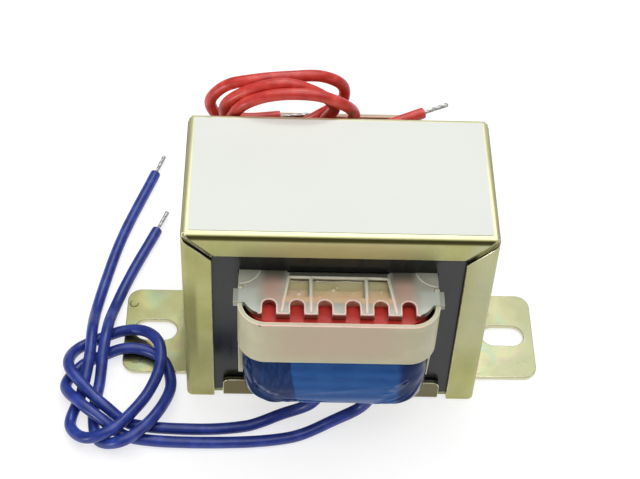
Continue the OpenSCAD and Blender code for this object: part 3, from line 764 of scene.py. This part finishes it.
def redInSlots(paint, x, y, z):
    # red walls of the slots and teeth, below the face
    inside = paint.step(x.size(), 16.4, 15.6) * paint.step(y.size(), 21.2, 21.7) * paint.step(y.size(), 25.9, 25.6)
    return inside * paint.step(z, 38.64, 38.56) * paint.step(z, 36.6, 36.9) * 0.85


def latchLug(paint, x, y, z):
    return paint.step(x.size(), 18.7, 18.9)


def paleCorner(paint, x, y, z):
    # the comb's corners are cooler and paler
    return paint.step(x.size(), 14.6, 16.0) * paint.step(y.size(), 18.6, 20.0) * 0.7


bobbinFinish = milkyNylon("bobbin nylon", (0.46, 0.46, 0.39), (0.38, 0.375, 0.31), [
    (paleCorner, (0.50, 0.54, 0.49)), (blushBesideTray, (0.56, 0.30, 0.23)),
    (paintedShadeOnFlangeBack, (0.13, 0.115, 0.085)), (paintedShadeBehindTray, (0.055, 0.050, 0.036)),
    (redInSlots, (0.34, 0.042, 0.034)), (tanOverTray, (0.66, 0.46, 0.28)), (latchLug, (0.33, 0.34, 0.29))])
shroudFinish = milkyNylon("shroud nylon", (0.55, 0.51, 0.34), (0.48, 0.45, 0.29), [
    (warmInShroud, (0.50, 0.365, 0.265)), (speckOnShroud, (0.02, 0.02, 0.02))])
# painted highlight: this pale finish on the mouldings' rounded edges, the pad and comb rims and the tray's ribs
# stands in for the light along those edges
rimHighlightFinish = milkyNylon("nylon rims painted highlight", (0.78, 0.76, 0.62), (0.66, 0.64, 0.50), [(pinkAtSlots, (0.95, 0.62, 0.54))])
mouldingFacts = {"bobbinRim": 0.12, "shroudRim": 0.16}  # rounding of the edges, millimetres
finishPiece(roundedCopy("bobbin", "bobbinMoulding", mouldingFacts["bobbinRim"], clamp=True),
            [bobbinFinish, rimHighlightFinish], ["bobbin"])
for node, name in (("front_shroud", "frontShroud"), ("rear_shroud", "rearShroud")):
    finishPiece(roundedCopy(node, name, mouldingFacts["shroudRim"]), [shroudFinish, rimHighlightFinish],
                [node])

ribFacts = {
    "width": 0.55,
    "top": 39.0,
    "foot": 38.6,
    # start and end of each rib, x and |y|
    "lines": [((-9.35, 16.35), (-10.7, 24.9)), ((-5.2, 16.35), (-5.2, 24.9)),
              ((5.2, 16.35), (5.2, 24.9)), ((9.35, 16.35), (10.7, 24.9)),
              ((-9.5, 16.42), (9.5, 16.42))],
}


def makeRib(name, start, end, side, facts):
    # a round-topped wall carried along a line, its top falling away towards the far end:
    # t is the share of the line and fall the drop of the top in millimetres
    t = np.array([0, 0.02, 0.5, 0.86, 0.93, 0.97, 1.0])
    fall = np.array([0.1, 0, 0, 0, 0.05, 0.16, 0.34])
    a = np.radians(np.linspace(0, 180, 9))
    half = facts["width"] / 2
    run = np.array(end) - np.array(start)
    sideways = np.array([-run[1], run[0]]) / np.hypot(*run)
    across = np.concatenate([[half, half], half * np.cos(a), [-half, -half]])
    up = np.concatenate([[0, 0.5], 0.55 + 0.45 * np.sin(a), [0.5, 0]]) * (facts["top"] - facts["foot"])
    grid = np.zeros((len(t), len(across), 3))
    grid[..., :2] = np.array(start) + t[:, None, None] * run + across[None, :, None] * sideways
    grid[..., 2] = facts["foot"] + np.maximum(up[None] - fall[:, None] * (up[None] > 0), 0)
    grid[..., 1] *= side
    return facedOut(skinObject(name, grid))


combFacts = {
    "slots": [-13.0, -7.8, -2.6, 2.6, 7.8, 13.0],
    "slotRadius": 1.3,
    "slotAt": 23.2,
    "tipAt": 25.3,
    "ends": 15.2,
    "bead": 0.17,  # radius of the rim painted pale as a highlight
    "corner": 0.45,  # rounding of the tooth tips
    "height": 38.70,
    "spacing": 0.12,  # between rings
}


def makeCombBead(name, side, facts):
    # a thin round rim just inside the comb's edge, painted pale as a highlight: along each tooth's tip, round its
    # corner, down, and half a
    # turn round each slot: centre + radius (cos a, sin a)
    inset = facts["bead"] * 0.9
    r, c, tip = facts["slotRadius"] + inset, facts["corner"], facts["tipAt"] - inset
    quarter = np.radians(np.linspace(90, 0, 7))
    half = np.radians(np.linspace(180, 360, 25))
    path = [np.array([[-facts["ends"], tip]])]
    for cx in facts["slots"]:
        inward = np.stack([cx - r - c + c * np.cos(quarter), tip - c + c * np.sin(quarter)], axis=1)
        bowl = np.stack([cx + r * np.cos(half), facts["slotAt"] + r * np.sin(half)], axis=1)
        path += [inward, bowl, inward[::-1] * [-1, 1] + [2 * cx, 0]]
    path = np.concatenate(path + [np.array([[facts["ends"], tip]])])
    line = np.concatenate([path, np.full((len(path), 1), facts["height"])], axis=1) * [1, side, 1]
    line, along = smoothRoute(line, facts["spacing"])
    heading = unit(np.gradient(line, axis=0))
    radius = facts["bead"] * np.clip(np.minimum(along, along[::-1])[:, None] * 3, 0.1, 1)
    return facedOut(skinObject(name, sweep(line, heading, radius, beadAround)))


padFacts = {
    "centre": (18.75, 14.3, 39.0),
    "radius": 4.1,
    "bead": 0.16,  # radius of the rim painted pale as a highlight
    "angles": (12, 88),
    "steps": 40,
}


def makePadBead(name, sideX, sideY, facts):
    # rim round the corner pad, painted pale as a highlight: centre + radius (-cos a, sin a)
    a = np.radians(np.linspace(*facts["angles"], facts["steps"]))
    x, y, z = facts["centre"]
    line = np.stack([sideX * (x - facts["radius"] * np.cos(a)), sideY * (y + facts["radius"] * np.sin(a)),
                     z + 0 * a], axis=1)
    heading = unit(np.gradient(line, axis=0))
    radius = facts["bead"] * beadFade(facts["steps"], 0.04, 2)
    return facedOut(skinObject(name, sweep(line, heading, radius, beadAround)))


bothFaces = ((-1, "front"), (1, "rear"))
for side, place in bothFaces:
    for sideX, hand in ((-1, "Left"), (1, "Right")):
        finishPiece(makePadBead(place + "PadRim" + hand, sideX, side, padFacts), [rimHighlightFinish],
                    sharp=0)
    finishPiece(makeCombBead(place + "CombRim", side, combFacts), [rimHighlightFinish], sharp=0)
    # the tray's ribs take the rim finish, painted pale as a highlight
    for k, (start, end) in enumerate(ribFacts["lines"]):
        finishPiece(makeRib("%sTrayRib%d" % (place, k), start, end, side, ribFacts), [rimHighlightFinish])
print("bobbin and shrouds ready")


tapeTurn = roundTurn(120, 52)  # points along each side and round each corner


def wrinkles(across, up, creases, folds):
    # each crease is a ridge height * exp(-((a - a0 - lean (v - v0)) / width)^2) that fades away from v0.
    # Each fold is the same ridge laid across: it is thin in height and fades along the turn
    lift = np.zeros((len(up), len(across)))
    for a0, v0, lean, width, height, reach in creases:
        off = (across[None] - a0 - lean * (up[:, None] - v0)) / width
        lift += height * np.exp(-off**2) * np.exp(-((up[:, None] - v0) / reach) ** 2)
    for a0, v0, fall, width, height, reach in folds:
        off = (up[:, None] - v0 - fall * (across[None] - a0)) / width
        lift += height * np.exp(-off**2) * np.exp(-((across[None] - a0) / reach) ** 2)
    return lift


blueTapeFacts = {
    "rows": 120,
    "bulge": 2.7,
    "corner": 6.5,
    "overlap": 0.06,  # step where the film ends
    "end": (0.610, 0.015, 0.97),  # around: the film's end, how far it leans, and where its step is taken back
    "crisp": 1500,  # of that step
    "waves": (0.03, 26),  # depth, and radians over the height
    "sideBulge": 0.5,
    "sunk": 0.18,  # how far the outline lies inside the solid
    "turnIn": (0.30, 0.05),  # how far the film's edges turn in, and over which share of the height
    "insets": (1.2, 3.5),  # of the rings that close it above and below
    # around (0 to 1), height (0 to 1), fall, width, ridge height, reach
    "folds": [
        (0.5505, 0.49, -4.5, 0.022, 0.38, 0.0060), (0.5590, 0.436, -4.0, 0.020, 0.36, 0.0060),
        (0.5700, 0.369, -3.0, 0.020, 0.28, 0.0100), (0.7630, 0.593, 5.0, 0.022, 0.32, 0.0060),
        (0.7530, 0.497, 5.0, 0.020, 0.30, 0.0070), (0.7420, 0.407, 4.0, 0.020, 0.24, 0.0080)],
    # around (0 to 1), height (0 to 1), lean, width, ridge height, reach
    "creases": [
        (0.545, 0.22, -0.12, 0.0030, 0.34, 0.10), (0.553, 0.26, -0.13, 0.0026, 0.28, 0.08),
        (0.562, 0.18, -0.11, 0.0030, 0.34, 0.09), (0.533, 0.32, -0.10, 0.0040, 0.22, 0.16),
        (0.571, 0.13, -0.14, 0.0028, 0.28, 0.07), (0.580, 0.16, -0.16, 0.0040, 0.20, 0.10),
        (0.572, 0.62, 0.02, 0.0050, 0.10, 0.20), (0.584, 0.55, 0.03, 0.0045, 0.10, 0.22),
        (0.770, 0.22, 0.12, 0.0030, 0.32, 0.10), (0.759, 0.26, 0.13, 0.0028, 0.26, 0.09),
        (0.750, 0.17, 0.14, 0.0030, 0.30, 0.08), (0.735, 0.13, 0.17, 0.0040, 0.20, 0.10),
        (0.782, 0.32, 0.10, 0.0050, 0.16, 0.20), (0.742, 0.25, 0.15, 0.0026, 0.18, 0.07),
        (0.670, 0.45, 0.60, 0.0200, 0.07, 0.12), (0.040, 0.20, 0.12, 0.0045, 0.24, 0.15),
        (0.030, 0.25, 0.13, 0.0040, 0.20, 0.14), (0.055, 0.16, 0.11, 0.0045, 0.20, 0.13),
        (0.290, 0.20, -0.12, 0.0045, 0.24, 0.15), (0.302, 0.25, -0.13, 0.0040, 0.20, 0.14),
        (0.280, 0.16, -0.11, 0.0045, 0.20, 0.13)],
}


def makeBlueTape(facts):
    # outlines that bulge as sin(pi v) in y, turned in at top and bottom, with creases at the corners
    low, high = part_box("secondary_tape")
    x0, y0 = high[0] / mm, high[1] / mm - facts["bulge"]
    v = np.linspace(0, 1, facts["rows"])
    level = (1 - np.cos(math.pi * v)) / 2
    z = low[2] / mm + (high[2] - low[2]) / mm * level
    across = np.linspace(0, 1, len(tapeTurn[1]), endpoint=False)
    lift = wrinkles(across, level, facts["creases"], facts["folds"])
    end, lean, back = facts["end"]
    past = np.clip((across[None] - (end - lean * level[:, None])) * facts["crisp"], -40, 40)
    lift += facts["overlap"] / (1 + np.exp(-past)) * (across[None] < back)
    depth, share = facts["turnIn"]
    lift -= depth * (np.exp(-(level[:, None] / share) ** 2) + np.exp(-((level[:, None] - 1) / share) ** 2))
    deep, often = facts["waves"]
    lift += deep * np.sin(level[:, None] * often + 2 * np.sin(across[None] * 12.6))
    swell = np.sin(math.pi * v)
    grid = roundStack(tapeTurn, x0 + facts["sideBulge"] * swell, y0 + facts["bulge"] * swell, facts["corner"], z,
                      lift - facts["sunk"])

    def closing(inset, height):
        return roundStack(tapeTurn, x0 - inset, y0 - inset, facts["corner"] - inset / 2, [height])

    near, far = facts["insets"]
    return skinObject("blueTape", np.concatenate([
        closing(far, z[0] + 0.2), closing(near, z[0]), grid, closing(near, z[-1]), closing(far, z[-1] - 0.2)]))


redTapeFacts = {
    "rows": 30,
    "corner": 6.5,
    "sunk": 0.15,  # how far the outline lies inside the solid
    "topRoom": 0.4,  # left above the sides for the rim
    "waves": (0.05, 44, 0.04, 19),  # depth, and radians around; depth, and radians over the height
    "foot": (3, 4.0),  # inset and corner of the ring that closes it below
    # rings of the rim: inset, and depth below the highest place of the rim
    "rim": [(0.25, 0.10), (0.9, 0.14), (2.2, 0.10), (3.6, 0.16), (5.0, 0.22), (6.0, 0.30)],
}


def makeRedTape(facts):
    # straight sides with shallow waves, and a rim turned in over the winding's top
    low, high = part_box("primary_tape")
    x0, y0 = high[0] / mm, high[1] / mm
    v = np.linspace(0, 1, facts["rows"])
    z = low[2] / mm + ((high[2] - low[2]) / mm - facts["topRoom"]) * v
    across = np.linspace(0, 1, len(tapeTurn[1]), endpoint=False)
    deep, often, deepUp, oftenUp = facts["waves"]
    lift = deep * np.sin(across[None] * often + 2 * v[:, None])
    lift += deepUp * np.sin(v[:, None] * oftenUp + 5 * np.sin(across[None] * 12.6))
    inset, corner = facts["foot"]
    rows = [roundStack(tapeTurn, x0 - inset, y0 - inset, corner, [z[0] + 0.1]),
            roundStack(tapeTurn, x0, y0, facts["corner"], z, lift - facts["sunk"])]
    for inset, drop in facts["rim"]:
        ring = roundStack(tapeTurn, x0 - inset, y0 - inset, max(facts["corner"] - inset, 0.5), [z[-1] + 0.25 - drop])
        ring[..., 2] += 0.05 * np.sin(across * 90 + inset * 2)
        rows.append(ring)
    return skinObject("redTape", np.concatenate(rows))


blueFilmFacts = {
    "tints": ((0.006, 0.062, 0.24), (0.016, 0.096, 0.31), (0.0, 0.018, 0.095)),  # deep, bright, past the ends (darker, in part as painted dark reflection)
    "ends": (-5.3, 12.4),  # x of the outer layer's ends
    "gloss": 0.04,  # least roughness
    # x, z, slope
    "smears": [(-14.64, 19.6, -0.60), (-13.6, 18.75, -0.50), (-12.1, 17.7, -0.35), (12.7, 21.2, 0.60),
               (11.6, 19.7, 0.58)],
}
redFilmFacts = {
    "tints": ((0.37, 0.026, 0.021), (0.50, 0.040, 0.030), (0.05, 0.012, 0.008)),
    "ends": (-12.0, 16.4),
    "gloss": 0.25,
    "smears": [],
}
finishPiece(makeBlueTape(blueTapeFacts), [filmTape("blue film", blueFilmFacts)], ["secondary_tape"],
            sharp=60)
finishPiece(makeRedTape(redTapeFacts), [filmTape("red film", redFilmFacts)],
            ["primary_tape", "primary_winding"], sharp=60)
refinish("secondary_winding", enamelWire())
print("windings ready")


trayFacts = {
    "floor": 37.15,
    "back": 16.3,
    "front": 21.15,
    "backHalf": 9.4,
    "frontHalf": 10.3,
    "ribs": (-5.2, 5.2),
    "ribThickness": 0.8,
    "room": 0.05,  # between the varnish and the walls
    "grid": (90, 50),
    "depth": 0.30,
    "edge": (0.30, 0.35),  # how far the varnish climbs the walls, and over which distance it falls off
    "lumps": (0.06, 0.012),  # height of the broad ones and of the fine ones
    # set drops: x, |y|, radius, height
    "drops": [(-1.0, 18.2, 0.42, 0.26), (-0.3, 17.6, 0.34, 0.20), (-3.6, 19.9, 0.38, 0.22), (2.7, 18.8, 0.32, 0.14),
              (-7.5, 19.2, 0.36, 0.16), (8.0, 18.3, 0.32, 0.14)],
}


def makeVarnish(name, cell, side, facts, seed):
    # over each cell of the tray: depth + climb * exp(-distance to the nearest wall), with soft lumps and drops
    rows, columns = facts["grid"]
    u = np.linspace(0, 1, rows)[:, None]
    v = np.linspace(0, 1, columns)[None]
    half = facts["backHalf"] + (facts["frontHalf"] - facts["backHalf"]) * v - facts["room"]
    rib = facts["ribThickness"] / 2 + facts["room"]
    leftRib, rightRib = facts["ribs"]
    left, right = [(-half, leftRib - rib), (leftRib + rib, rightRib - rib), (rightRib + rib, half)][cell]
    x = left + (right - left) * u + 0 * v
    reach = facts["front"] - facts["back"]
    y = facts["back"] + reach * v + 0 * u
    wall = np.minimum(np.minimum(u, 1 - u) * (right - left), np.minimum(v, 1 - v) * reach)
    broad, fine = facts["lumps"]
    lumps = broad * np.sin(x * 1.3 + seed) * np.sin(y * 1.7 + seed * 2)
    lumps += fine * np.sin(x * 3.7 + seed) * np.sin(y * 4.3)
    climb, away = facts["edge"]
    top = facts["floor"] + facts["depth"] + lumps + climb * np.exp(-wall / away)
    for x0, y0, radius, height in facts["drops"]:
        top = top + height * np.exp(-((x - x0) ** 2 + (y - y0) ** 2) / radius**2)
    upper = np.stack([x, side * y, top], axis=-1)
    lower = np.stack([x, side * y, 0 * x + facts["floor"] - facts["room"]], axis=-1)
    ring = np.concatenate([upper, lower[:, ::-1]], axis=1)
    if side < 0:
        ring = ring[::-1]
    return facedOut(skinObject(name, ring))


varnishFinish = amberVarnish(trayFacts)
for side, place in bothFaces:
    for cell in range(3):
        pool = makeVarnish("%sVarnish%d" % (place, cell), cell, side, trayFacts, 1.3 * cell + 2 * side)
        finishPiece(pool, [varnishFinish], sharp=0)
print("varnish ready")


labelFacts = {
    "corner": (0.4, 0.2),  # radius outside and at least
    "edge": 0.03,  # rounding
    "dip": 0.01,  # of the face
    "under": (6.0, 0.3, 0.04),  # insets of the rings below and then on top
    "over": (0.3, 3.0, 9.0),
}


def makeLabel(facts):
    # a sheet with rounded corners: out along the underside, up the edge, in over a face that dips a little
    low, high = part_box("label")
    halfX, halfY = high[0] / mm, high[1] / mm
    z0, z1, edge, face = low[2] / mm, high[2] / mm, facts["edge"], high[2] / mm - facts["dip"]
    rim, near, far = facts["over"]
    steps = np.array([(s, z0) for s in facts["under"]] + [
        (0.0, z0 + edge), (0.0, z1 - edge), (edge, z1), (rim, z1), (near, face), (far, face)])
    inset = steps[:, 0]
    corner, least = facts["corner"]
    grid = roundStack(roundTurn(30, 8), halfX - inset, halfY - inset, np.maximum(corner - inset, least), steps[:, 1])
    return skinObject("labelSheet", grid)


finishPiece(makeLabel(labelFacts), [labelFilm()], ["label"], sharp=30)
print("label ready")


stageFacts = {
    "floorHalf": 12.0,
    "glow": 0.70,
    "paper": (0.36, 0.39),
    "sky": (0.15, 2.35),  # dim side and bright side
    "brightSide": (0.14, 0.12, 0.98),
    "skyEdge": (0.70, 0.93),  # dot products between which the sky changes
    "lamps": [  # watts, size, place
        (1.60, 0.07, (-0.60, -0.54, 0.17)),
        (0.60, 0.07, (0.04, 0.40, 0.60)),
        (0.26, 0.05, (-0.02, -0.30, 0.80)),
    ],
}


def makeStage(facts):
    # a flat floor that glows a little, a sky that brightens smoothly towards one side, three small lamps
    h = facts["floorHalf"]
    mesh = bpy.data.meshes.new("floor")
    mesh.from_pydata([(-h, -h, 0), (h, -h, 0), (h, h, 0), (-h, h, 0)], [], [(0, 1, 2, 3)])
    mesh.materials.append(floorPaper(facts))
    floor = placed("floor", mesh)
    world = bpy.data.worlds.new("studio")
    sky = NodeBench(world, "Background", "Generated")
    toward = sky.add("ShaderNodeVectorMath", {"operation": "DOT_PRODUCT"}, {
        0: sky.place, 1: Vector(facts["brightSide"]).normalized()}, "Value")
    sky.shader.inputs["Color"].default_value = (1, 1, 1, 1)
    sky.link("Strength", sky.step(toward, *facts["skyEdge"], *facts["sky"]))
    bpy.context.scene.world = world
    for k, (watts, size, place) in enumerate(facts["lamps"]):
        data = bpy.data.lights.new("lamp%d" % k, "AREA")
        data.energy, data.size = watts, size
        towardPart = (-Vector(place)).to_track_quat("-Z", "Y").to_matrix().to_4x4()
        placed("lamp%d" % k, data).matrix_world = Matrix.Translation(place) @ towardPart


makeStage(stageFacts)
print("stage ready")
